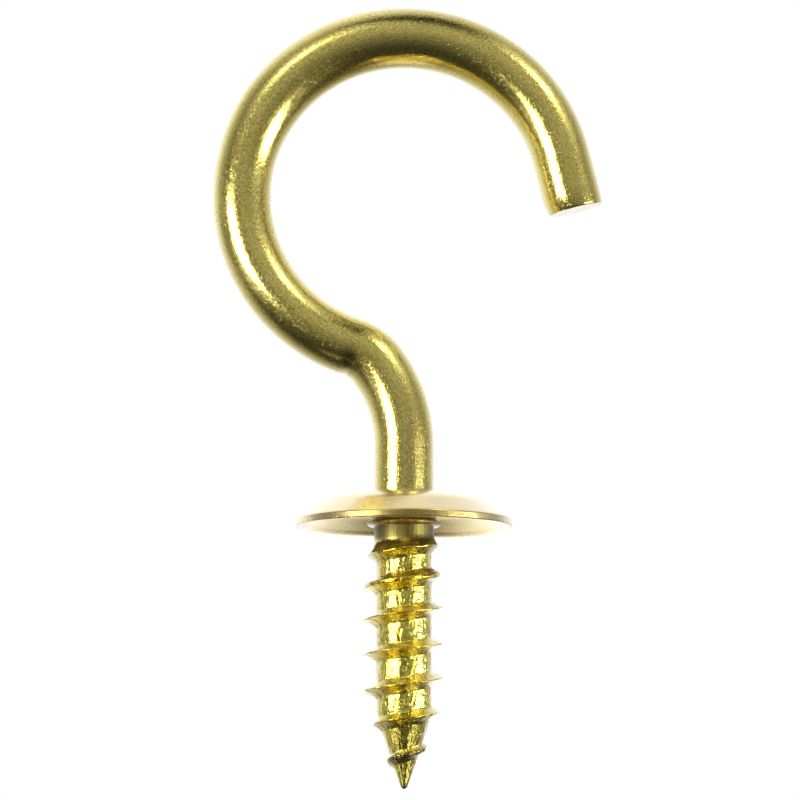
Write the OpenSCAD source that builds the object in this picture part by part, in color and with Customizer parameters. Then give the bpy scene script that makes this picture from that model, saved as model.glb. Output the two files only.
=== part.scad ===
// Cup hook: a bent wire with a rolled wood-screw thread, and a pressed collar staked on its shank.
// The origin is the centre of the plane that the collar seats on. +Z runs up the shank,
// the hook lies in the XZ plane, and its mouth opens towards +X. All sizes are in millimetres.

/* [Wire] */
// Diameter of the wire that the hook is bent from
wire_d = 3.55; // [3.2:0.05:4]

/* [Hook] */
// Straight wire between the crown of the collar and the first bend
straight_l = 2.8; // [1:0.05:8]
// Radius of the first, easy bend, on the centre line of the wire
easy_bend_r = 8.1; // [7:0.1:10]
// Angle of the first bend in degrees
easy_bend_angle = 37.9; // [30:0.1:45]
// Radius of the second, tight bend, on the centre line of the wire
tight_bend_r = 2.8; // [2.3:0.05:4]
// Inside diameter of the bowl
bowl_d = 16.15; // [14:0.05:18]
// Sweep of the bowl from the tight bend round to the tip, in degrees
bowl_sweep = 237.9; // [210:0.1:250]
// Straight wire between the bowl and the cut end
tip_l = 3.4; // [1:0.05:5]
// Bevel round the cut end
tip_bevel = 0.1; // [0.05:0.01:0.3]

/* [Collar] */
// Diameter of the collar over its rim
collar_d = 12.9; // [12:0.1:15]
// Height of the crown at its bore, above the surface that the collar seats on
collar_h = 2.14; // [1.8:0.02:2.5]
// Thickness of the pressed sheet
sheet_t = 0.42; // [0.3:0.02:0.5]
// Height of the rim's cut edge
rim_edge_h = 0.42; // [0.3:0.01:0.5]
// Slope of the crown, which is a shallow cone, in degrees
crown_slope = 9.4; // [5:0.1:14]
// Slope of the flank that runs down to the rim, in degrees
flank_slope = 37; // [32:0.5:42]
// Outside radius of the knee between the crown and the flank
knee_r = 2.9; // [1.5:0.1:3.2]
// Width of the flat ring that touches the surface
seat_w = 0.24; // [0.15:0.01:0.4]
// Clearance between the collar's bore and the wire, on the diameter
bore_clearance = 0.02; // [0.01:0.01:0.1]
// Radius where the sheet turns down into the bore
turn_down_r = 0.24; // [0.1:0.02:0.4]
// Thickness of the neck where it grips the wire
neck_wall = 0.14; // [0.1:0.01:0.2]
// Radius of the flare under the crown, from the neck out to the sheet
flare_r = 1.1; // [0.6:0.05:1.2]
// Diameter of the section of the bead curled at the neck's end
bead_t = 0.4; // [0.3:0.02:0.5]

/* [Thread] */
// Length of the screw below the seating surface
screw_l = 15.4; // [12:0.1:24]
// Length of plain shank below the seating surface
plain_l = 0.8; // [0.5:0.1:3]
// Advance of the thread in one turn
pitch = 2.05; // [1.6:0.05:2.6]
// Height of the thread's crest above the wire's surface
crest_h = 0.56; // [0.3:0.02:0.8]
// Depth of the thread's root below the wire's surface
root_depth = 0.15; // [0.1:0.01:0.25]
// Angle between the two flanks of the thread, in degrees
flank_angle = 60; // [50:1:70]
// Width of the crest's flat
crest_w = 0.05; // [0.03:0.01:0.1]
// Length over which the thread rises to its full height
run_in_l = 2.4; // [1:0.1:4]
// Length of the gimlet point
point_l = 4.5; // [3.5:0.1:6]
// Length above the tip over which the point's cone cuts the crest down
crest_taper_l = 5; // [4:0.1:7]
// Height above the tip at which the thread dies out
thread_end_l = 0.45; // [0.4:0.05:1]

/* [Hidden] */
brass_wire = [0.71, 0.66, 0.36];
brass_sheet = [0.80, 0.70, 0.45];

wire_r = wire_d / 2;
$fn = 72;

// The easy bend and the bowl are a hair thicker than the wire, as bending leaves it, and the
// lengths between them lap a little way into them, so that the wire is one solid
hair = 0.01;
lap = 0.15;

// The easy bend and the tight bend lean the wire to -X, and the bowl sweeps back over +X.
// The tight bend's angle puts the centre of the bowl over the shank.
bowl_r = bowl_d / 2 + wire_r;
tight_bend_x = (easy_bend_r - tight_bend_r) * cos(easy_bend_angle) - easy_bend_r;
tight_bend_angle = acos(-tight_bend_x / (bowl_r + tight_bend_r)) - easy_bend_angle;

// The collar's profile
bore_r = (wire_d + bore_clearance) / 2;
collar_r = collar_d / 2;
rim_break = seat_w / 3;
arc_steps = 8;
knee_steps = 12;
neck_r = bore_r + neck_wall;
bead_r = bead_t / 2;
bead_gap = 0.03;

// The thread's profile and run
root_r = wire_r - root_depth;
thread_h = crest_h + root_depth;
columns = 40;
per_turn = 5;
thread_end_z = thread_end_l - screw_l;
turns = ceil((-plain_l - thread_end_z) / pitch);
thread_top_z = thread_end_z + turns * pitch + pitch / 4;
shoulder_h = 0.15;

// The thread rises from a little above the end of the plain shank, quickly at first. The
// cone that cuts its crest down would close below the tip, and it dies out just above the tip.
run_in_over = 0.25;
run_in_power = 0.6;
cone_under = 1;
die_out_gap = 0.1;
die_out_l = 0.7;

// The gimlet point is a little fuller than a cone, and ends in a blunt tip
point_power = 1.12;
tip_r = 0.08;
tip_h = 0.08;

// ---- Wire ----

// A length of wire bent towards -X through an angle, starting up +Z from the origin,
// that goes on by a lap at both ends
module bent_wire(r, bend_r, angle, lap = 0) {
    lap_angle = atan(lap / bend_r);
    translate([-bend_r, 0, 0])
        rotate([90, 0, 0])
            rotate_extrude(angle = angle + 2 * lap_angle, start = -lap_angle)
                translate([bend_r, 0])
                    circle(r);
}

// Moves its children to the end of such a bend, pointing along the wire
module at_bend_end(bend_r, angle)
    translate([-bend_r, 0, 0])
        rotate([0, -angle, 0])
            translate([bend_r, 0, 0])
                children();

module at_easy_bend() translate([0, 0, collar_h + straight_l]) children();
module at_tight_bend() at_easy_bend() at_bend_end(easy_bend_r, easy_bend_angle) children();
module at_bowl() at_tight_bend() at_bend_end(tight_bend_r, tight_bend_angle) mirror([1, 0, 0]) children();
module at_tip() at_bowl() at_bend_end(bowl_r, bowl_sweep) children();

// The plain shank ends in a shoulder where the thread's root begins
module shank()
    rotate_extrude()
        polygon([
            [0, collar_h + straight_l + lap],
            [wire_r, collar_h + straight_l + lap],
            [wire_r, -plain_l],
            [root_r - shoulder_h, -plain_l - root_depth - shoulder_h],
            [0, -plain_l - root_depth - shoulder_h]
        ]);

module tip()
    rotate_extrude()
        polygon([
            [0, -lap],
            [wire_r, -lap],
            [wire_r, tip_l - tip_bevel],
            [wire_r - tip_bevel, tip_l],
            [0, tip_l]
        ]);

module wire() {
    shank();
    at_easy_bend() bent_wire(wire_r + hair, easy_bend_r, easy_bend_angle);
    at_tight_bend() bent_wire(wire_r, tight_bend_r, tight_bend_angle, lap);
    at_bowl() bent_wire(wire_r + hair, bowl_r, bowl_sweep);
    at_tip() tip();
}

// ---- Thread and gimlet point ----

function limit(x) = min(1, max(0, x));

// Radius of the screw's core: straight, then drawn in to the gimlet point
function core_r(z) =
    let (along = limit((-z - screw_l + point_l) / point_l))
    tip_r + (root_r - tip_r) * (1 - pow(along, point_power));

// Height of the thread on the core: it runs in below the shank, is cut down by the point's
// own cone, and dies out above the tip
function ridge_h(z) =
    let (
        run_in = pow(limit((run_in_over - plain_l - z) / run_in_l), run_in_power),
        cone_r = (root_r + thread_h) * (z + screw_l + cone_under) / (crest_taper_l + cone_under),
        die_out = limit((z - thread_end_z - die_out_gap) / die_out_l)
    )
    max(0, min(thread_h * run_in, cone_r - core_r(z))) * die_out;

function around(column, z, r) =
    let (angle = 360 * column / columns)
    [r * cos(angle), r * sin(angle), z];

// One turn of the profile in one column: two points on the crest between two at its foot,
// and one in the middle of the root below
function profile_turn(column, turn) =
    let (
        z = thread_end_z + pitch * (turns - 1 - turn + column / columns),
        h = ridge_h(z),
        foot = max(crest_w / 2 + h * tan(flank_angle / 2), crest_w),
        steps = [foot, crest_w / 2, -crest_w / 2, -foot],
        mid = min(pitch / 2, (z + foot + screw_l - thread_end_l) / 2)
    )
    [
        around(column, z + foot, core_r(z + foot)),
        around(column, z + crest_w / 2, core_r(z) + h),
        around(column, z - crest_w / 2, core_r(z) + h),
        around(column, z - foot, core_r(z - foot)),
        around(column, z - mid, core_r(z - mid))
    ];

function column_points(column) = concat(
    [around(column, thread_top_z, root_r)],
    [for (turn = [0 : turns - 1], p = profile_turn(column, turn)) p],
    [around(column, tip_h - screw_l, core_r(tip_h - screw_l))]
);

module thread() {
    rows = turns * per_turn + 2;
    last = columns - 1;
    apex = columns * rows;
    crown = apex + 1;
    function at(column, row) = column * rows + row;
    polyhedron(
        points = concat(
            [for (column = [0 : last], p = column_points(column)) p],
            [[0, 0, -screw_l], [0, 0, thread_top_z]]
        ),
        faces = concat(
            // Between neighbouring columns the rows match
            [for (c = [0 : last - 1], row = [0 : rows - 2])
                [at(c, row), at(c + 1, row), at(c + 1, row + 1), at(c, row + 1)]],
            // Round the seam each turn of the last column meets the turn before it
            [for (row = [per_turn + 1 : rows - 3])
                [at(last, row), at(0, row - per_turn), at(0, row - per_turn + 1), at(last, row + 1)]],
            [for (row = [0 : per_turn]) [at(last, row), at(0, 0), at(last, row + 1)]],
            [[at(last, per_turn + 1), at(0, 0), at(0, 1)]],
            [for (row = [rows - 2 - per_turn : rows - 3])
                [at(last, rows - 2), at(0, row), at(0, row + 1)]],
            [[at(last, rows - 2), at(0, rows - 2), at(0, rows - 1), at(last, rows - 1)]],
            // The ends are fans
            [for (c = [0 : last]) [at(c, rows - 1), at((c + 1) % columns, rows - 1), apex]],
            [for (c = [0 : last]) [at((c + 1) % columns, 0), at(c, 0), crown]]
        )
    );
}

module hook() color(brass_wire) {
    wire();
    thread();
}

// ---- Collar ----

// The crown and the flank are cones. The face at a depth inside each, square to its upper face,
// would meet the axis at this height.
function crown_z(depth) = collar_h + bore_r * tan(crown_slope) - depth / cos(crown_slope);
function flank_z(depth) = rim_edge_h + collar_r * tan(flank_slope) - depth / cos(flank_slope);

function arc(centre, r, from, to, steps) =
    [for (i = [0 : steps]) let (a = from + (to - from) * i / steps) centre + r * [cos(a), sin(a)]];

module collar() color(brass_sheet) {
    // The turn into the bore and the flare under the crown are tangent to the crown's two faces
    turn_x = bore_r + turn_down_r;
    turn_centre = [turn_x, crown_z(turn_down_r) - turn_x * tan(crown_slope)];
    flare_x = neck_r + flare_r;
    flare_centre = [flare_x, crown_z(sheet_t + flare_r) - flare_x * tan(crown_slope)];
    // The knee is tangent to the crown and the flank
    knee_x = (flank_z(knee_r) - crown_z(knee_r)) / (tan(flank_slope) - tan(crown_slope));
    knee_centre = [knee_x, crown_z(knee_r) - knee_x * tan(crown_slope)];
    outer_r = collar_r - rim_break;
    inner_r = outer_r - seat_w;
    bead_centre = [bore_r + bead_r, bead_gap + bead_r];
    meet = acos((neck_wall - bead_r) / bead_r);
    rotate_extrude()
        polygon(concat(
            arc(turn_centre, turn_down_r, 180, 90 - crown_slope, arc_steps),
            arc(knee_centre, knee_r, 90 - crown_slope, 90 - flank_slope, knee_steps),
            [[collar_r, rim_edge_h], [collar_r, rim_break], [outer_r, 0], [inner_r, 0]],
            [[inner_r, flank_z(sheet_t) - inner_r * tan(flank_slope)]],
            arc(knee_centre, knee_r - sheet_t, 90 - flank_slope, 90 - crown_slope, knee_steps),
            arc(flare_centre, flare_r, 90 - crown_slope, 180, arc_steps),
            arc(bead_centre, bead_r, meet, -90, arc_steps),
            [[bore_r, bead_gap]]
        ));
}

hook();
collar();
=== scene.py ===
"""The looks of a brass cup hook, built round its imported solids.

Lengths are in millimetres in the part's own frame, and MM turns them into Blender's metres.
"""

import math

import bmesh
import bpy
import numpy as np
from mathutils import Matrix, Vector, noise


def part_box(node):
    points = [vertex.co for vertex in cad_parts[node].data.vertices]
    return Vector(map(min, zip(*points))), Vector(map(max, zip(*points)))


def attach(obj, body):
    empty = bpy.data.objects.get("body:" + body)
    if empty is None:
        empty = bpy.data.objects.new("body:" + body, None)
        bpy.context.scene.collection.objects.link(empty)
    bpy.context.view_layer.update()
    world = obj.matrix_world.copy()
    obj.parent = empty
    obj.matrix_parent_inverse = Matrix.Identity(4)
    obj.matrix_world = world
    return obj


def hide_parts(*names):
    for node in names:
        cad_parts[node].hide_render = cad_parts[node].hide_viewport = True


MM = 0.001

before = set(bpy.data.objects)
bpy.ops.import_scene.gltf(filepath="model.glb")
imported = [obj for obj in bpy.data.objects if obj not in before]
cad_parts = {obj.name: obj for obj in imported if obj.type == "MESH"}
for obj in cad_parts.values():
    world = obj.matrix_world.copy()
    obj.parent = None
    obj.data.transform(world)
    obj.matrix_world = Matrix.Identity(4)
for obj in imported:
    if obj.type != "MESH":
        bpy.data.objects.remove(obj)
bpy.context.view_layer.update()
hook_low, hook_high = (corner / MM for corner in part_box("hook"))
collar_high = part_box("collar")[1] / MM

# ---- Sizes ----

# The wire's centre line: straight, an easy bend, a tight bend, the bowl, and the cut end
WIRE_R = 1.775
STRAIGHT_L = 2.8
EASY_BEND_R = 8.1
EASY_BEND = math.radians(37.9)
TIGHT_BEND_R = 2.8
BOWL_R = 9.85
BOWL_SWEEP = math.radians(237.9)
TIP_L = 3.4
CUT_SLOPE = 0.08

# The collar's section: a shallow crown and a steep flank, joined by a knee
COLLAR_R = collar_high.x
COLLAR_H = 2.14
SHEET_T = 0.42
RIM_EDGE_H = 0.42
CROWN_SLOPE = math.radians(9.4)
FLANK_SLOPE = math.radians(37)
KNEE_R = 2.9
RIM_W = 0.42
RIM_ROUNDING = 0.07
BORE_R = 1.785
TURN_DOWN_R = 0.24
NECK_WALL = 0.14
FLARE_R = 1.1
BEAD_R = 0.2
BEAD_GAP = 0.03

# The screw: the thread starts under a rolled shoulder and dies out above the gimlet point
SCREW_L = -hook_low.z
PITCH = 2.05
TURNS = 6.5
ROOT_R = 1.63
CREST_R = 2.35
POINT_L = 4.5
POINT_POWER = 1.12
THREAD_END_Z = 0.45 - SCREW_L
TIP_R = 0.14
TIP_ROUNDING = 0.1
SHOULDER_R = 2.07
SHOULDER_Z = -1.36
SHOULDER_LEAN = 0.265
SHOULDER_FLARE_L = 0.7

# How finely the meshes are made: points round the wire, the gap between its rings, and the
# gap that two points may have and still be welded
AROUND = 144
RING_GAP = 0.24
WELD_GAP = 2e-4


def limit(x):
    """A number or array held between 0 and 1."""
    return np.clip(x, 0.0, 1.0)


def smooth(x):
    """A smooth step from 0 to 1."""
    t = limit(x)
    return t * t * (3 - 2 * t)


def near(x, centre, reach):
    """1 at the centre, and down to 0 at that reach from it."""
    return limit(1 - np.abs(x - centre) / reach)


def wander(points, size, seed):
    """Smooth noise from -1 to 1 at points in millimetres, with lumps of about that size."""
    shift = Vector((seed * 17.3, seed * -9.1, seed * 5.7))
    values = [noise.noise(Vector(point) / size + shift) for point in points.reshape(-1, 3)]
    return np.array(values).reshape(points.shape[:-1])


def round_axis(angle, radius, z):
    """Points at an angle round the Z axis, a radius and a height."""
    return np.stack([radius * np.cos(angle), radius * np.sin(angle), z], -1)


# ---- Meshes ----


def grid_faces(rows, columns, closed):
    """The faces of a grid of points, row by row, that may close round its columns."""
    last = columns if closed else columns - 1
    row, column = np.meshgrid(np.arange(rows - 1), np.arange(last), indexing="ij")
    here = row * columns + column
    beside = row * columns + (column + 1) % columns
    return np.stack((here, beside, beside + columns, here + columns), -1).reshape(-1, 4)


def weld(mesh):
    """Joins the grids where they meet, and turns every face outwards."""
    shell = bmesh.new()
    shell.from_mesh(mesh)
    bmesh.ops.remove_doubles(shell, verts=shell.verts, dist=WELD_GAP * MM)
    bmesh.ops.dissolve_degenerate(shell, edges=shell.edges, dist=WELD_GAP / 2 * MM)
    bmesh.ops.recalc_face_normals(shell, faces=shell.faces)
    for face in shell.faces:
        face.smooth = True
    shell.to_mesh(mesh)
    shell.free()


def add_object(name, data):
    """A new object in the scene."""
    added = bpy.data.objects.new(name, data)
    bpy.context.scene.collection.objects.link(added)
    return added


def make_piece(name, grids, material):
    """One welded mesh from grids of points: each is (points, unbent coordinates, closed)."""
    vertices, unbent, faces = [], [], []
    count = 0
    for points, straight, closed in grids:
        rows, columns = points.shape[:2]
        vertices.append(points.reshape(-1, 3))
        unbent.append(straight.reshape(-1, 3))
        faces.append(grid_faces(rows, columns, closed) + count)
        count += rows * columns
    mesh = bpy.data.meshes.new(name)
    mesh.from_pydata(np.vstack(vertices) * MM, [], np.vstack(faces).tolist())
    attribute = mesh.attributes.new("unbent", "FLOAT_VECTOR", "POINT")
    attribute.data.foreach_set("vector", np.vstack(unbent).astype(np.float32).ravel())
    weld(mesh)
    mesh.materials.append(material)
    return add_object(name, mesh)


# ---- The wire ----


def wire_line():
    """The centre line from the seat to the cut end, and where each of its five stretches ends.

    It is given as stations a hair apart: their distance along it, x, z and heading.
    """
    # The bowl's centre is over the shank, which settles how far the tight bend turns
    tight_bend_x = (EASY_BEND_R - TIGHT_BEND_R) * math.cos(EASY_BEND) - EASY_BEND_R
    tight_bend = math.acos(-tight_bend_x / (BOWL_R + TIGHT_BEND_R)) - EASY_BEND
    stretches = (
        (COLLAR_H + STRAIGHT_L, 0),
        (EASY_BEND_R * EASY_BEND, 1 / EASY_BEND_R),
        (TIGHT_BEND_R * tight_bend, 1 / TIGHT_BEND_R),
        (BOWL_R * BOWL_SWEEP, -1 / BOWL_R),
        (TIP_L, 0),
    )
    lengths, bends = np.array(stretches).T
    ends = np.cumsum(lengths)
    step = 0.005
    middles = np.arange(0, ends[-1], step) + step / 2
    bend = bends[np.searchsorted(ends, middles).clip(max=len(bends) - 1)]
    heading = math.pi / 2 + np.concatenate([[0], np.cumsum(bend) * step])
    middle_heading = heading[1:] - bend * step / 2
    distance = np.concatenate([[0], middles + step / 2])
    x = np.concatenate([[0], np.cumsum(np.cos(middle_heading)) * step])
    z = np.concatenate([[0], np.cumsum(np.sin(middle_heading)) * step])
    return (distance, x, z, heading), ends


(line_s, line_x, line_z, line_heading), stretch_ends = wire_line()
CREASE_S = stretch_ends[2]
WIRE_L = stretch_ends[4]


def ring_stations():
    """Where the wire's rings lie: evenly, and closer at the crease and at the cut end."""
    even = np.linspace(0, WIRE_L, int(WIRE_L / RING_GAP))
    crease = CREASE_S + np.linspace(-1.0, 0.6, 44)
    cut = WIRE_L - np.array([0.5, 0.3, 0.16, 0.08, 0.04, 0.02, 0])
    even = even[((even < crease[0]) | (even > crease[-1])) & (even < cut[0])]
    return np.sort(np.concatenate([even, crease, cut]))


def crease_depth(s, a):
    """Depth of the shallow fold on the inner side of the tight bend, with finer ones below it."""
    below = CREASE_S - s
    fold = 0.06 * smooth(1 - np.where(below > 0, below / 0.7, -below / 0.5))
    ripples = 0.005 * np.sin(below * 30) * smooth(near(below, 0.45, 0.45))
    return limit(-np.cos(a)) ** 3 * (fold + ripples)


def shear_depth(s, a):
    """How far the shear pinched the end, most of all on the bowl's inner side, and broke its edge."""
    from_end = WIRE_L - CUT_SLOPE * WIRE_R * np.sin(a) - s
    pinch = 0.07 + 0.12 * limit(np.cos(a)) + 0.05 * limit(-np.sin(a))
    edge_break = 0.05
    return pinch * limit(1 - from_end) ** 1.6 + edge_break * limit(1 - from_end / edge_break)


def swelling(s):
    """How far the bowl was squeezed thicker by its bending, from 0 to 1."""
    angle = np.degrees((s - CREASE_S) / BOWL_R)
    begins, rises_over, ends, falls_over = 84, 26, 237, 36
    return smooth((angle - begins) / rises_over) * smooth((ends - angle) / falls_over)


def wire_grid():
    """The wire above the seat: rings square to the centre line, and their unbent coordinates."""
    angle = 2 * math.pi * np.arange(AROUND) / AROUND
    s, a = np.meshgrid(ring_stations(), angle, indexing="ij")
    # The shear came down a little slantwise, so the rings near the cut end lean
    s = s - CUT_SLOPE * WIRE_R * np.sin(a) * smooth(1 - (WIRE_L - s) / 2.5)
    radius = WIRE_R - crease_depth(s, a) - shear_depth(s, a)
    # In the plane of the hook the bowl is a little thicker, rather more of it on the outside
    swell = swelling(s)
    across = radius * np.cos(a) * (1 + 0.042 * swell) - 0.02 * swell
    heading = np.interp(s, line_s, line_heading)
    past_end = np.maximum(s - WIRE_L, 0)
    x = np.interp(s, line_s, line_x) + past_end * np.cos(heading) + across * np.sin(heading)
    z = np.interp(s, line_s, line_z) + past_end * np.sin(heading) - across * np.cos(heading)
    return np.stack([x, radius * np.sin(a), z], -1), round_axis(a, radius, s)


def end_grid(points, unbent):
    """The cut face: rings drawn in to the middle of the last ring, torn a little by the shear."""
    shares = np.array([1, 0.985, 0.95, 0.88, 0.76, 0.6, 0.4, 0.2, 0])[:, None, None]

    def drawn_in(ring):
        return ring.mean(0) + (ring - ring.mean(0)) * shares

    face = drawn_in(points[-1])
    torn = 0.03 * wander(face, 0.7, 5) * smooth((1 - shares[..., 0]) / 0.2)
    onward = np.array([math.cos(line_heading[-1]), 0, math.sin(line_heading[-1])])
    return face + torn[..., None] * onward, drawn_in(unbent[-1])


# ---- The thread ----


def core_r(z):
    """Radius of the screw's core: straight, then drawn in to the rounded gimlet point."""
    above_tip = z + SCREW_L
    drawn_in = limit(1 - above_tip / POINT_L) ** POINT_POWER
    rounding = TIP_ROUNDING * limit(1 - above_tip / TIP_R) ** 2
    return TIP_R - rounding + (ROOT_R - TIP_R) * (1 - drawn_in)


def shoulder_z(turn):
    """Height of the rolled shoulder's edge, which leans down to the left."""
    return SHOULDER_Z + SHOULDER_LEAN * np.cos(2 * math.pi * turn)


def shoulder_r(a):
    """Radius of the rolled shoulder's edge: less at the back, and a hair less on the right."""
    return SHOULDER_R - 0.25 * limit(np.sin(a)) - 0.03 * limit(np.cos(a))


def helix_z(turn):
    """Height of the thread's crest at a number of turns from its end, a little uneven."""
    a = 2 * math.pi * turn
    unevenness = 0.05 * np.sin(0.62 * a + 1.3) * smooth((TURNS - turn) / 0.5)
    return THREAD_END_Z + PITCH * turn - 0.09 * np.cos(a) + unevenness


# The last turn is bent up or down by this much to run into the shoulder
LAST_STEP = shoulder_z(TURNS) - helix_z(TURNS)


def crest_z(turn):
    """Height of the thread's crest and, past its last turn, of the shoulder's edge."""
    thread = helix_z(turn) + LAST_STEP * smooth(turn - TURNS + 1)
    return np.where(turn > TURNS, shoulder_z(turn), thread)


def crest_r(turn):
    """Radius of the crest: it rises below the shoulder, and the point's cone cuts it down."""
    a = 2 * math.pi * turn
    z = crest_z(turn)
    full_z, rise_l, rise = -4.8, 3.25, 0.32
    rising = CREST_R - rise * limit((z - full_z) / rise_l) ** 1.6
    cone_slope, cone_under = 0.39, 0.985
    cone = cone_slope * (z + SCREW_L + cone_under)
    lopsided = 0.07 * np.cos(a) * smooth((turn - 1.2) / 0.8)
    return np.where(turn > TURNS, shoulder_r(a), np.minimum(rising, cone) - lopsided)


def ridge(turn, z):
    """Height of one turn's ridge over the core at a height z: a thin, concave blade."""
    gap = z - crest_z(turn)
    # The lowest ridge, at the point, is blunt, and the topmost ones have a wider crest
    blunt = smooth((1.4 - turn) / 0.35)
    half_crest = 0.03 + 0.07 * smooth((turn - TURNS + 1.5) / 0.5) + 0.06 * blunt
    flank = np.where(gap > 0, 0.36, 0.45) * (1 - 0.3 * blunt)
    height = np.maximum(0, crest_r(turn) - core_r(crest_z(turn)))
    blade = limit(1 - (np.abs(gap) - half_crest) / flank) ** 1.5
    return height * blade * smooth((turn - 0.05) / 0.3)


def hammered(radius, a, z, crest):
    """The radius with the marks of the rolling dies: dents, upright grooves and a burred crest."""
    place = round_axis(a, ROOT_R, z)
    shown = smooth((-z - 0.7) / 0.8) * smooth((z + SCREW_L) / 1.5)
    grooves = 0.022 * wander(place * np.array([1, 1, 0.22]), 0.26, 1)
    dents = 0.022 * wander(place, 0.24, 2)
    at_point = smooth((3.0 - SCREW_L - z) / 0.4)
    burrs = 0.06 * wander(place, 0.36, 3) * near(z, crest, 0.14) * (1 - 0.5 * at_point)
    return radius + shown * (grooves + dents + burrs)


def thread_strip(side, turns):
    """The strip below the crest (side -1) or above it (side 1), half way to the next crest.

    It starts a turn before the thread does, on the bare point.
    """
    from_crest = np.interp(np.arange(19), (0, 3, 9, 18), (0, 0.05, 0.3, 1))
    along = np.arange(-AROUND, round(turns * AROUND) + 1) / AROUND
    turn, share = np.meshgrid(along, from_crest, indexing="ij")
    a = 2 * math.pi * turn
    crest = crest_z(turn)
    seam = (crest + crest_z(turn + side)) / 2
    z = np.clip(crest + (seam - crest) * share, -SCREW_L, 0)
    raised = np.maximum(ridge(turn, z), ridge(turn + side, z))
    radius = hammered(core_r(z) + raised, a, z, crest)
    points = round_axis(a, np.where(z <= -SCREW_L, 0, radius), z)
    return points, points, False


def shank_grid():
    """The shank from the shoulder's flared edge up to the seat."""
    angle = 2 * math.pi * np.arange(AROUND) / AROUND
    share, a = np.meshgrid(np.linspace(0, 1, 16), angle, indexing="ij")
    edge_z = shoulder_z(a / (2 * math.pi))
    z = edge_z * (1 - share)
    flare = limit(1 - (z - edge_z) / SHOULDER_FLARE_L) ** 2.2
    radius = hammered(WIRE_R + (shoulder_r(a) - WIRE_R) * flare, a, z, edge_z)
    points = round_axis(a, radius, z)
    return points, points, True


# ---- The collar ----


def crown_z(r, depth=0.0):
    """Height of the crown's face at a depth inside its upper face."""
    return COLLAR_H - (r - BORE_R) * math.tan(CROWN_SLOPE) - depth / math.cos(CROWN_SLOPE)


def flank_z(r, depth=0.0):
    """Height of the flank's face at a depth inside its upper face."""
    return RIM_EDGE_H + (COLLAR_R - r) * math.tan(FLANK_SLOPE) - depth / math.cos(FLANK_SLOPE)


def arc(x, z, r, start, end, steps):
    """Points round a centre, from one angle to another in degrees."""
    angle = np.linspace(math.radians(start), math.radians(end), steps)
    return np.stack([x + r * np.cos(angle), z + r * np.sin(angle)], -1)


def line(start, end, steps):
    """The points between two others, without those two."""
    return np.linspace(start, end, steps + 1)[1:-1]


def collar_profile():
    """The section of the pressed sheet: up the bore, out over the top, and back underneath."""
    crown, flank = math.degrees(CROWN_SLOPE), math.degrees(FLANK_SLOPE)
    slope_change = math.tan(FLANK_SLOPE) - math.tan(CROWN_SLOPE)
    knee_x = (flank_z(0, KNEE_R) - crown_z(0, KNEE_R)) / slope_change
    knee_z = crown_z(knee_x, KNEE_R)
    turn_x = BORE_R + TURN_DOWN_R
    flare_x = BORE_R + NECK_WALL + FLARE_R
    rim_x = COLLAR_R - RIM_ROUNDING
    inner_x = COLLAR_R - RIM_W
    bore = [[BORE_R, 0.1], [BORE_R, 0.8], [BORE_R, 1.4]]
    turned = arc(turn_x, crown_z(turn_x, TURN_DOWN_R), TURN_DOWN_R, 180, 90 - crown, 8)
    knee = arc(knee_x, knee_z, KNEE_R, 90 - crown, 90 - flank, 16)
    edge = arc(rim_x, flank_z(rim_x, RIM_ROUNDING), RIM_ROUNDING, 90 - flank, 0, 5)
    foot = arc(rim_x, RIM_ROUNDING, RIM_ROUNDING, 0, -90, 5)
    heel = [[COLLAR_R - 0.15, 0.0], [COLLAR_R - 0.28, 0.07], [inner_x, flank_z(inner_x, SHEET_T)]]
    under_knee = arc(knee_x, knee_z, KNEE_R - SHEET_T, 90 - flank, 90 - crown, 12)
    flare = arc(flare_x, crown_z(flare_x, SHEET_T + FLARE_R), FLARE_R, 90 - crown, 180, 16)
    bead = arc(BORE_R + BEAD_R, BEAD_GAP + BEAD_R, BEAD_R, 105, -150, 16)
    parts = (
        bore,
        turned,
        line(turned[-1], knee[0], 14),
        knee,
        line(knee[-1], edge[0], 8),
        edge,
        line(edge[-1], foot[0], 6),
        foot,
        heel,
        line(heel[-1], under_knee[0], 6),
        under_knee,
        line(under_knee[-1], flare[0], 6),
        flare,
        bead,
    )
    return np.vstack(parts)


def collar_grid():
    """The section swept round the shank, with the dents and the ragged edges of a cheap pressing."""
    profile = collar_profile()
    columns = 2 * AROUND
    angle = 2 * math.pi * np.arange(columns) / columns
    r, a = np.meshgrid(profile[:, 0], angle, indexing="ij")
    z = np.repeat(profile[:, 1:], columns, 1)
    place = round_axis(a, r, z)
    # The skirt is bent down at the back on the right, sits a hair low all along the back, and
    # is a little wavy
    skirt_r = 3.2
    skirt = smooth((r - skirt_r) / (COLLAR_R - skirt_r))
    bent_at = math.radians(48)
    bent = 0.13 * smooth(near(a, bent_at, bent_at)) + 0.03 * limit(np.sin(a))
    z = z - skirt * bent + skirt * 0.012 * wander(place, 2.2, 6)
    # The foot of the rim is ragged, and so is the bead, which hangs a hair lower for it
    ragged = near(r, COLLAR_R, 0.1) * limit((0.3 - z) / 0.3)
    r = r + ragged * 0.03 * wander(place, 0.3, 7)
    curled = smooth((2.25 - r) / 0.15) * smooth((0.7 - z) / 0.2) * smooth((r - BORE_R) / 0.05)
    r = r + curled * 0.06 * wander(place, 0.55, 8)
    z = z - curled * (0.05 * wander(place, 0.7, 9) + 0.02)
    points = round_axis(a, r, z)
    points = np.concatenate([points, points[:1]])
    return points, points, True


# ---- Materials ----

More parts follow.
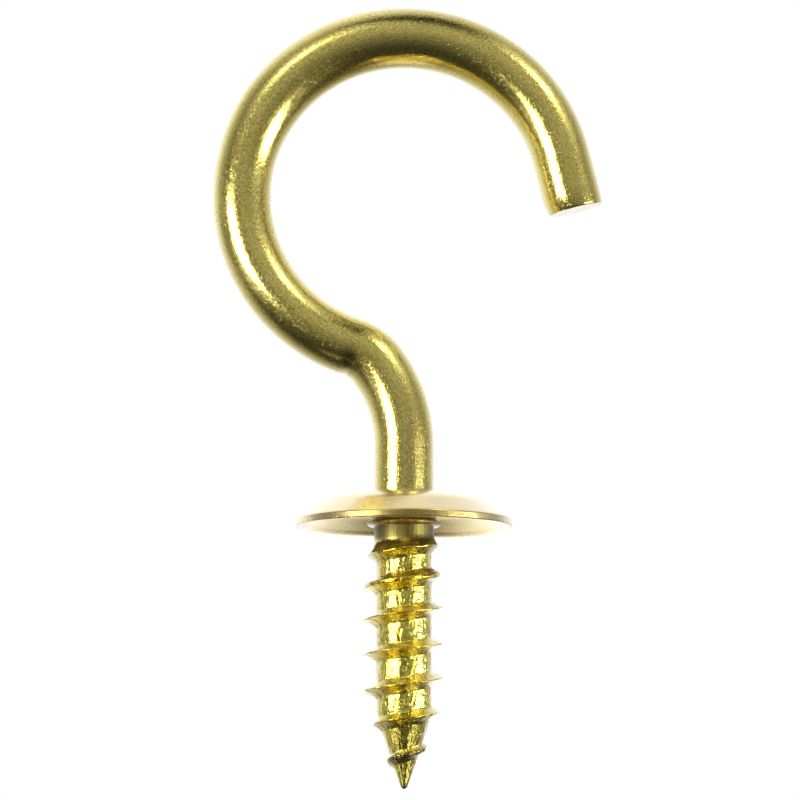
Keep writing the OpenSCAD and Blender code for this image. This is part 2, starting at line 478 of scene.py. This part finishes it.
WHITE = (1, 1, 1, 1)
SEEN_EDGE_ON = (1.0, 0.99, 0.95, 1)
DRAWN = (0.96, 0.83, 0.25, 1)
DRAWN_PATCH = (0.90, 0.75, 0.21, 1)
ROLLED = (0.96, 0.83, 0.15, 1)
# A deeper gold for the thread's blades, in part a painted gold reflection
BLADE_GOLD_AND_REFLECTION = (0.93, 0.73, 0.045, 1)
GRAIN = (0.56, 0.45, 0.10, 1)
PITS = (0.36, 0.28, 0.05, 1)
STAIN = (0.40, 0.26, 0.02, 1)
# Painted shade on the neck under the collar, and its darker streaks
NECK_SHADE = (0.27, 0.225, 0.065, 1)
NECK_SHADE_STREAK = (0.13, 0.105, 0.02, 1)
# Painted shade along the fold of the tight bend
FOLD_SHADE = (0.14, 0.125, 0.055, 1)
# Painted shade on the last ridges at the point
LAST_RIDGES_SHADE = (0.30, 0.21, 0.09, 1)
POINT = (0.30, 0.22, 0.12, 1)
PRESSED = (0.88, 0.70, 0.26, 1)
PRESSED_PATCH = (0.86, 0.65, 0.22, 1)
CUT_RIM = (0.28, 0.18, 0.03, 1)
CURLED = (0.62, 0.41, 0.07, 1)
# Painted shade on the bead's front, with rust-coloured speckle
RUST_AND_SHADE = (0.24, 0.13, 0.02, 1)
FLOOR_PAINT = (0.86, 0.86, 0.85, 1)


class Nodes:
    """Short ways to add and join the nodes of one tree."""

    def __init__(self, tree):
        self.tree = tree
        tree.nodes.clear()

    def add(self, kind, inputs=None, **settings):
        node = self.tree.nodes.new(kind)
        for name, value in settings.items():
            setattr(node, name, value)
        for name, value in (inputs or {}).items():
            self.set(node.inputs[name], value)
        return node

    def set(self, socket, value):
        if isinstance(value, bpy.types.NodeSocket):
            self.tree.links.new(value, socket)
        else:
            socket.default_value = value

    def math(self, operation, *values):
        return self.add("ShaderNodeMath", dict(enumerate(values)), operation=operation).outputs[0]

    def plus(self, total, *values):
        for value in values:
            total = self.math("ADD", total, value)
        return total

    def times(self, product, *values):
        for value in values:
            product = self.math("MULTIPLY", product, value)
        return product

    def stretch(self, vector, scale):
        node = self.add("ShaderNodeVectorMath", {0: vector, 1: scale}, operation="MULTIPLY")
        return node.outputs[0]

    def dot(self, vector, direction):
        inputs = {0: vector, 1: direction}
        return self.add("ShaderNodeVectorMath", inputs, operation="DOT_PRODUCT").outputs["Value"]

    def parts(self, vector):
        """The X, Y and Z of a vector."""
        return tuple(self.add("ShaderNodeSeparateXYZ", {0: vector}).outputs)

    def off_axis(self, vector):
        """The distance of a place from the Z axis."""
        inputs = {0: self.stretch(vector, (1, 1, 0))}
        return self.add("ShaderNodeVectorMath", inputs, operation="LENGTH").outputs["Value"]

    def unbent(self):
        """The place on the piece in millimetres, with the wire unbent along Z."""
        return self.add("ShaderNodeAttribute", attribute_name="unbent").outputs["Vector"]

    def facing(self):
        """How far the surface is seen edge on, from 0 to 1."""
        return self.add("ShaderNodeLayerWeight", {"Blend": 0.5}).outputs["Facing"]

    def noise(self, vector, scale, detail, roughness):
        inputs = {"Vector": vector, "Scale": scale, "Detail": detail, "Roughness": roughness}
        return self.add("ShaderNodeTexNoise", inputs).outputs["Fac"]

    def ramp(self, value, low, high, start=0.0, end=1.0, kind="SMOOTHSTEP"):
        inputs = {"Value": value, "From Min": low, "From Max": high, "To Min": start, "To Max": end}
        return self.add("ShaderNodeMapRange", inputs, interpolation_type=kind).outputs["Result"]

    def mix(self, share, a, b):
        """Two colours mixed. The node's colour sockets are its seventh and eighth."""
        node = self.add("ShaderNodeMix", {0: share, 6: a, 7: b}, data_type="RGBA")
        return node.outputs[2]

    def bump(self, height, distance, normal=None):
        inputs = {"Height": height, "Distance": distance, "Strength": 1.0}
        if normal is not None:
            inputs["Normal"] = normal
        return self.add("ShaderNodeBump", inputs).outputs["Normal"]


def new_material(name):
    """A new material, and its tree with nothing in it yet."""
    material = bpy.data.materials.new(name)
    material.use_nodes = True
    return material, Nodes(material.node_tree)


def finish_metal(n, colour, paling, roughness, normal):
    """Polished brass, which loses its colour as it is seen more and more edge on."""
    colour = n.mix(n.math("POWER", n.facing(), paling), colour, SEEN_EDGE_ON)
    inputs = {"Base Color": colour, "Roughness": roughness, "Normal": normal}
    shader = n.add("ShaderNodeBsdfPrincipled", inputs)
    shader.inputs["Metallic"].default_value = 1.0
    n.add("ShaderNodeOutputMaterial", {"Surface": shader.outputs[0]})


def wire_brass():
    """Drawn brass: fine grain and streaks along the wire, yellower and stained on the rolled thread."""
    material, n = new_material("wire_brass")
    unbent = n.unbent()
    across, _, station = n.parts(unbent)

    # Where the marks are: the thread and its blades, the last ridges, the tip, the neck under the
    # collar, and the fold on the inner side of the tight bend. The last ridges, the neck and the
    # fold are darkened as painted shade
    threaded = n.ramp(station, -0.9, -1.6)
    root = n.ramp(station, POINT_L - SCREW_L, -SCREW_L, ROOT_R, 0.15, "LINEAR")
    blade = n.ramp(n.math("SUBTRACT", n.off_axis(unbent), root), 0.07, 0.32)
    last_ridges_shade = n.times(blade, n.ramp(station, 3.2 - SCREW_L, 2.2 - SCREW_L))
    tip = n.ramp(station, 0.5 - SCREW_L, 0.1 - SCREW_L)
    neck = n.times(n.ramp(station, 0.4, 0.1), n.ramp(station, -1.0, -0.65))
    beside_fold = n.times(
        n.ramp(station, CREASE_S - 0.9, CREASE_S - 0.2), n.ramp(station, CREASE_S + 0.5, CREASE_S)
    )
    fold = n.times(beside_fold, n.ramp(across, -0.2, -0.9), n.ramp(across, -1.6, -1.3))

    grain = n.noise(n.stretch(unbent, (1, 1, 0.8)), 8.0, 2.0, 0.6)
    fine = n.noise(n.stretch(unbent, (1, 1, 0.6)), 11.0, 1.0, 0.5)
    flecks = n.ramp(n.noise(unbent, 13.0, 1.0, 0.5), 0.60, 0.74)
    streaks = n.noise(n.stretch(unbent, (1, 1, 0.04)), 7.0, 3.0, 0.6)
    patches = n.ramp(n.noise(unbent, 0.45, 3.0, 0.55), 0.35, 0.7)
    stains = n.ramp(n.noise(n.stretch(unbent, (1, 1, 0.5)), 2.2, 3.0, 0.65), 0.46, 0.30)

    drawn = n.mix(patches, DRAWN, DRAWN_PATCH)
    # The blades get a deeper gold, in part a painted reflection of the gold thread round them
    colour = n.mix(threaded, drawn, n.mix(blade, ROLLED, BLADE_GOLD_AND_REFLECTION))
    colour = n.mix(n.ramp(fine, 0.3, 0.7, 0.0, 0.7, "LINEAR"), colour, GRAIN)
    colour = n.mix(n.ramp(grain, 0.42, 0.25, 0.0, 0.85), colour, PITS)
    colour = n.mix(n.times(stains, threaded, 0.8), colour, STAIN)
    # Painted shade on the neck, where the collar's rim hides the lamps, with darker streaks
    neck_shade = n.mix(n.ramp(streaks, 0.42, 0.60), NECK_SHADE, NECK_SHADE_STREAK)
    colour = n.mix(n.times(neck, 0.85), colour, neck_shade)
    # Painted shade along the fold on the inner side of the tight bend
    colour = n.mix(n.times(fold, 0.75), colour, FOLD_SHADE)
    # Painted shade on the last ridges at the point, which damps a lamp's glint there
    colour = n.mix(n.times(last_ridges_shade, 0.85), colour, LAST_RIDGES_SHADE)
    colour = n.mix(tip, colour, POINT)

    roughness = n.plus(n.ramp(grain, 0.3, 0.75, 0.10, 0.2, "LINEAR"), n.times(neck, 0.3))

    # The streaks are deepest on the shank, and the dents are only on the thread
    streaked = n.times(streaks, n.ramp(station, 7.5, 3.0, 0.12, 0.5))
    height = n.plus(n.times(grain, 0.5), n.times(fine, 0.12), n.times(flecks, 0.14), streaked)
    height = n.times(height, n.ramp(station, -0.9, -1.6, 1.0, 1.2))
    dents = n.noise(n.stretch(unbent, (1, 1, 0.45)), 3.6, 3.0, 0.6)
    dents = n.times(dents, threaded, n.ramp(station, 3.4 - SCREW_L, 2.4 - SCREW_L, 1.0, 0.5))
    normal = n.bump(height, 0.022 * MM, n.bump(dents, 0.06 * MM))
    finish_metal(n, colour, 3.0, roughness, normal)
    return material


def collar_brass():
    """Pressed sheet: warmer than the wire, brown on the cut rim and round the bead."""
    material, n = new_material("collar_brass")
    place = n.unbent()
    out = n.off_axis(place)
    _, back, height = n.parts(place)
    _, _, up = n.parts(n.add("ShaderNodeTexCoord").outputs["Normal"])

    grain = n.noise(place, 7.0, 3.0, 0.6)
    speckle = n.noise(place, 14.0, 2.0, 0.6)
    patches = n.ramp(n.noise(place, 0.6, 2.0, 0.5), 0.35, 0.7)

    # The dull underside, the cut rim, the curled bead, and the bead's front, which is darkened as
    # painted shade with rust-coloured speckle
    underside = n.times(n.ramp(up, -0.15, -0.45), n.ramp(out, 2.4, 2.9))
    rim = n.times(
        n.ramp(out, COLLAR_R - 0.12, COLLAR_R - 0.03),
        n.ramp(height, RIM_EDGE_H, RIM_EDGE_H - 0.06),
        n.ramp(speckle, 0.3, 0.6, 1.0, 0.55),
        n.ramp(n.facing(), 0.38, 0.66, 1.0, 0.0),
    )
    curl = n.times(n.ramp(out, 2.5, 2.1), n.ramp(height, 0.8, 0.45))
    front = n.times(curl, n.ramp(back, -0.9, -1.6))
    rust_and_shade = n.times(front, n.ramp(n.noise(place, 6.0, 3.0, 0.7), 0.40, 0.60, 0.25, 0.95))

    colour = n.mix(patches, PRESSED, PRESSED_PATCH)
    colour = n.mix(rim, colour, CUT_RIM)
    colour = n.mix(n.times(curl, 0.9), colour, CURLED)
    # Painted shade on the bead's front, speckled like rust
    colour = n.mix(rust_and_shade, colour, RUST_AND_SHADE)

    roughness = n.plus(
        n.ramp(grain, 0.3, 0.75, 0.14, 0.26, "LINEAR"),
        n.times(rim, 0.22),
        n.times(curl, 0.15),
        n.times(underside, 0.1),
    )

    rough_places = n.times(speckle, n.math("MAXIMUM", rim, curl), 1.8)
    bumps = n.plus(n.times(grain, 0.8), rough_places)
    bumps = n.times(bumps, n.math("SUBTRACT", 1.0, n.times(underside, 0.5)))
    # The bead's front pales less when seen edge on, part of its painted shade
    paling = n.ramp(front, 0.0, 1.0, 1.7, 4.0)
    finish_metal(n, colour, paling, roughness, n.bump(bumps, 0.014 * MM))
    return material


# ---- The pieces ----

wire_points, wire_unbent = wire_grid()
hook = make_piece(
    "hook_brass",
    [
        (wire_points, wire_unbent, True),
        (*end_grid(wire_points, wire_unbent), True),
        thread_strip(-1, TURNS + 1),
        thread_strip(1, TURNS),
        shank_grid(),
    ],
    wire_brass(),
)
collar = make_piece("collar_brass", [collar_grid()], collar_brass())
for piece, node, slot in ((hook, "hook", "wire"), (collar, "collar", "sheet")):
    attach(piece, "root")
    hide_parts(node)

# ---- Studio ----


def direction(turn, off_axis):
    """A direction by its turn from +X towards +Z and its angle off the way to the camera, -Y."""
    turn, off_axis = math.radians(turn), math.radians(off_axis)
    across = math.sin(off_axis)
    return Vector((across * math.cos(turn), -math.cos(off_axis), across * math.sin(turn)))


# Pale and dark places in the room that the metal shows, as they lie round the hook:
# turn and angle off the way to the camera, the angles where each is full and gone, and its light
ROOM = (
    (84, 24, 6, 22, 0.1),  # glow of the ceiling in front
    (52, 42, 6, 22, 0.09),  # the same on the right
    (340, 66, 7, 42, 0.13),  # round the right box
    (114, 48, 3, 20, 0.5),  # round the ceiling lamp on the left
    (48, 66, 3, 25, 0.5),  # round the ceiling lamp on the right
    (85, 66, 1, 22, -0.3),  # gap between them
    (146, 86, 3, 28, -0.16),  # beside the left box
    (172, 98, 3, 26, -0.12),  # behind the left box
    (182, 96, 2, 14, -0.13),  # dark strip there
    (0, 60, 3, 24, 0.14),  # over the right box
    (194, 64, 3, 14, 0.4),  # under the left box
    (160, 60, 2, 13, -0.2),  # over the left box
    (106, 104, 3, 26, 0.15),  # sweep above the hook
    (265, 112, 5, 26, -0.1),  # gap behind the table
    (302, 128, 5, 30, -0.12),  # edge of the table
)


def make_world():
    """White to the camera. Metal sees a white sweep behind, a dim room in front and pale openings."""
    world = bpy.data.worlds.new("studio")
    world.use_nodes = True
    bpy.context.scene.world = world
    n = Nodes(world.node_tree)
    way = n.add("ShaderNodeTexCoord").outputs["Generated"]
    _, _, up = n.parts(way)
    room = n.ramp(up, -0.8, 0.4, 0.05, 0.33)
    sweep = n.ramp(n.dot(way, direction(130, 160)), -0.05, 0.88, 0.0, 0.78, "LINEAR")
    level = n.plus(room, sweep)
    for turn, off_axis, full, gone, light in ROOM:
        nearness = n.dot(way, direction(turn, off_axis))
        low, high = math.cos(math.radians(gone)), math.cos(math.radians(full))
        level = n.plus(level, n.ramp(nearness, low, high, 0.0, light))
    darkest = 0.012
    level = n.math("MAXIMUM", level, darkest)
    path = n.add("ShaderNodeLightPath").outputs
    seen = n.math("MAXIMUM", path["Is Camera Ray"], path["Is Transmission Ray"])
    shown = n.add("ShaderNodeBackground", {"Strength": 1.0})
    shown.inputs["Color"].default_value = WHITE
    lit = n.add("ShaderNodeBackground", {"Strength": level})
    lit.inputs["Color"].default_value = WHITE
    both = n.add("ShaderNodeMixShader", {0: seen, 1: lit.outputs[0], 2: shown.outputs[0]})
    n.add("ShaderNodeOutputWorld", {"Surface": both.outputs[0]})


def soft_box(name, turn, off_axis, width, tall, light):
    """A lamp square to the object, of that brightness as seen in the metal.

    Its width and height are shares of its distance.
    """
    distance = 0.4
    lamp = bpy.data.lights.new(name, "AREA")
    lamp.shape = "RECTANGLE"
    lamp.size, lamp.size_y = width * distance, tall * distance
    lamp.energy = light * math.pi * lamp.size * lamp.size_y
    box = add_object(name, lamp)
    away = direction(turn, off_axis)
    middle = Vector((0, 0, (hook_low.z + hook_high.z) / 2 * MM))
    box.location = middle + away * distance
    box.rotation_euler = away.to_track_quat("Z", "Y").to_euler()


def glow(name, place, radius, light, colour):
    """A small round glow near the object and out of the camera's sight."""
    lamp = bpy.data.lights.new(name, "POINT")
    lamp.shadow_soft_size = radius * MM
    lamp.energy = light * 4 * math.pi * math.pi * lamp.shadow_soft_size**2
    lamp.color = colour
    ball = add_object(name, lamp)
    ball.location = Vector(place) * MM
    ball.visible_camera = False


def near_card(name, place, aim, size, light, spread=180):
    """A small lit card near the object and out of the camera's sight."""
    lamp = bpy.data.lights.new(name, "AREA")
    lamp.shape = "DISK"
    lamp.size = size * MM
    lamp.spread = math.radians(spread)
    lamp.energy = light * math.pi * math.pi * (lamp.size / 2) ** 2
    card = add_object(name, lamp)
    card.location = Vector(place) * MM
    card.rotation_euler = (Vector(place) - Vector(aim)).to_track_quat("Z", "Y").to_euler()
    card.visible_camera = False


def make_floor():
    """A pale floor well below the hook, paler still to the camera, with the hook's shadow."""
    half, drop = 4.0, -0.3
    material, n = new_material("floor")
    paint = n.add("ShaderNodeBsdfDiffuse")
    paint.inputs["Color"].default_value = FLOOR_PAINT
    white = n.add("ShaderNodeEmission", {"Strength": 1.0})
    white.inputs["Color"].default_value = WHITE
    path = n.add("ShaderNodeLightPath").outputs
    seen = n.times(path["Is Camera Ray"], 0.6)
    shader = n.add("ShaderNodeMixShader", {0: seen, 1: paint.outputs[0], 2: white.outputs[0]})
    n.add("ShaderNodeOutputMaterial", {"Surface": shader.outputs[0]})
    mesh = bpy.data.meshes.new("floor")
    corners = [(x * half, y * half, drop) for x, y in ((-1, -1), (1, -1), (1, 1), (-1, 1))]
    mesh.from_pydata(corners, [], [(0, 1, 2, 3)])
    mesh.materials.append(material)
    floor = add_object("floor", mesh)
    floor.visible_glossy = False


def make_camera():
    """In front and a little below, looking up at the hook."""
    rise, distance = math.radians(8.5), 144
    data = bpy.data.cameras.new("camera")
    data.sensor_width, data.lens = 36, 108
    data.clip_start = 0.001
    camera = add_object("camera", data)
    look = Vector((0, math.cos(rise), math.sin(rise)))
    aim = Vector((-0.238, 0, 7.644)) * MM
    camera.location = aim - look * distance * MM
    camera.rotation_euler = look.to_track_quat("-Z", "Y").to_euler()
    bpy.context.scene.camera = camera


make_world()
soft_box("left_soft_box", 178, 45, 0.42, 0.33, 12.0)
soft_box("right_soft_box", 352, 66, 0.56, 0.25, 12.0)
soft_box("left_ceiling_lamp", 116, 46, 0.22, 0.10, 5.0)
soft_box("right_ceiling_lamp", 51, 59, 0.28, 0.16, 5.0)
glow("gold_glow", (0, 4, 18), 4.5, 0.12, (1.0, 0.82, 0.4))
glow("glow_under_collar", (0, -4.5, 0.3), 1.3, 0.32, (1.0, 0.85, 0.5))
near_card("card_under_collar", (0, 18, -11), (0, 14, 0), 18, 0.7)
near_card("card_left_of_point", (-19, -13, -31), (0, 0, -12), 20, 0.1, spread=40)
near_card("card_right_of_point", (19, -13, -31), (0, 0, -12.5), 16, 0.095, spread=40)
make_floor()
make_camera()
bpy.context.scene.view_settings.view_transform = "Standard"
